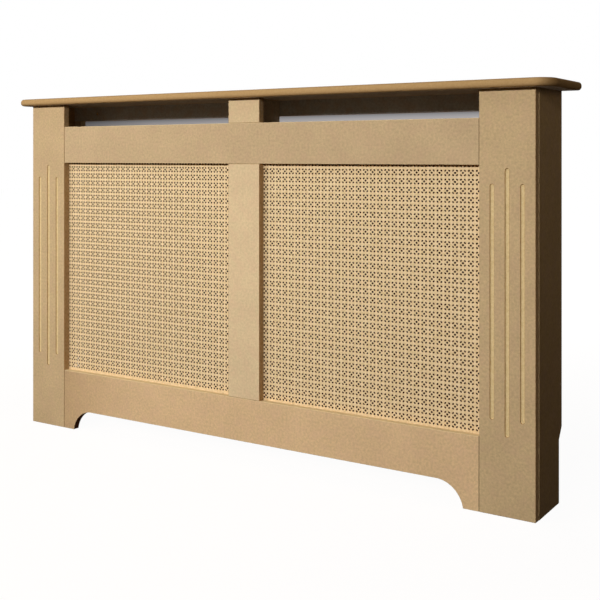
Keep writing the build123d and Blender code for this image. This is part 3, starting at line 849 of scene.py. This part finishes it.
low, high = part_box("top_shelf")
levels = []
for rim, sign in ((low.z + SHELF_ROUND, -1), (high.z - SHELF_ROUND, 1)):
    turns = [90 * i / ROUND_STEPS for i in range(ROUND_STEPS + 1)]
    for turn in turns[::-1] if sign < 0 else turns:
        angle = math.radians(turn)
        levels.append((rim + sign * SHELF_ROUND * math.sin(angle), SHELF_ROUND * (1 - math.cos(angle))))
form = bmesh.new()
rings = []
for z, inset in levels:
    radius = SHELF_CORNER - inset
    points = [(low.x + inset, high.y)]
    for x, start in ((low.x + SHELF_CORNER, 180), (high.x - SHELF_CORNER, 270)):
        for i in range(CORNER_STEPS + 1):
            angle = math.radians(start + 90 * i / CORNER_STEPS)
            points.append((x + radius * math.cos(angle), low.y + SHELF_CORNER + radius * math.sin(angle)))
    points.append((high.x - inset, high.y))
    rings.append([form.verts.new((x, y, z)) for x, y in points])
form.faces.new(rings[0]).material_index = 2    # the underside
form.faces.new(rings[-1])
for below, above in zip(rings, rings[1:]):
    for i in range(len(below)):
        j = (i + 1) % len(below)
        form.faces.new((below[i], below[j], above[j], above[i])).material_index = 1
bmesh.ops.recalc_face_normals(form, faces=form.faces)
shelf_face = sanded_mdf("MDF, sanded shelf face", SHELF_TONE)
shelf_underside = sanded_mdf("MDF, underside of the shelf, greyed for painted shade", UNDERSIDE_TONE)
shelf_edge = cut_mdf(
    "MDF, routed edge of the shelf", "z", [(low.z + high.z) / 2], high.z - low.z,
    core=(ROUTED_MID, ROUTED_PALE), skin_colour=ROUTED_SKIN, fade=CORNER_PAINTED_SHADE,
)
shelf = settle("top_shelf_board", form, [shelf_face, shelf_edge, shelf_underside])
place_board(ease(shelf), "top_shelf")


# ---- Biscuits: pressed beech ovals, glued in slots and hidden once the frame is closed.
# Pressing closes the grain to fine pale and dark streaks along the oval.
BEECH_PALE = "#D9B58C"
BEECH_DARK = "#B98A5E"
BEECH_GRAIN = {"Scale": 1 / (1.2 * MM), "Detail": 3.0, "Roughness": 0.6}
BEECH_STRETCH = (0.15, 1.0, 0.15)    # draws the streaks out
BEECH_ROUGHNESS = 0.7

beech = blank_material("beech, pressed")
tree = beech.node_tree
place = put(tree, "ShaderNodeTexCoord", out="Object")
streaks = put(tree, "ShaderNodeMapping", {"Vector": place, "Scale": BEECH_STRETCH}, out=0)
streaks = put(tree, "ShaderNodeTexNoise", {"Vector": streaks, **BEECH_GRAIN}, out="Fac")
stops = noise_stops(BEECH_DARK, BEECH_PALE)
grain = put(tree, "ShaderNodeValToRGB", {"Fac": streaks}, out="Color", stops=stops)
finish = {"Base Color": grain, "Roughness": BEECH_ROUGHNESS, "IOR": BOARD_IOR}
shader = put(tree, "ShaderNodeBsdfPrincipled", finish, out=0)
put(tree, "ShaderNodeOutputMaterial", {"Surface": shader})
for node in ("rail_biscuits", "stile_biscuits", "shelf_biscuits"):
    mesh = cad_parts[node].data
    mesh.materials.clear()
    mesh.materials.append(beech)


# ---- Brads and staples: galvanised steel wire, driven flush from inside.
# The zinc leaves it dull, in slightly uneven greys.
STEEL_PALE = "#C9CACB"
STEEL_DARK = "#A9ABAD"
STEEL_SPANGLE = {"Scale": 1 / (0.8 * MM)}
STEEL_ROUGHNESS = 0.45

steel = blank_material("galvanised steel wire")
tree = steel.node_tree
place = put(tree, "ShaderNodeTexCoord", out="Object")
spangle = put(tree, "ShaderNodeTexNoise", {"Vector": place, **STEEL_SPANGLE}, out="Fac")
stops = noise_stops(STEEL_DARK, STEEL_PALE)
colour = put(tree, "ShaderNodeValToRGB", {"Fac": spangle}, out="Color", stops=stops)
finish = {"Base Color": colour, "Metallic": 1.0, "Roughness": STEEL_ROUGHNESS}
shader = put(tree, "ShaderNodeBsdfPrincipled", finish, out=0)
put(tree, "ShaderNodeOutputMaterial", {"Surface": shader})
brads = ["corner_batten_brads", "rear_batten_brads", "brace_brads"]
for node in brads + ["grille_staples_left", "grille_staples_right"]:
    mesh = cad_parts[node].data
    mesh.materials.clear()
    mesh.materials.append(steel)
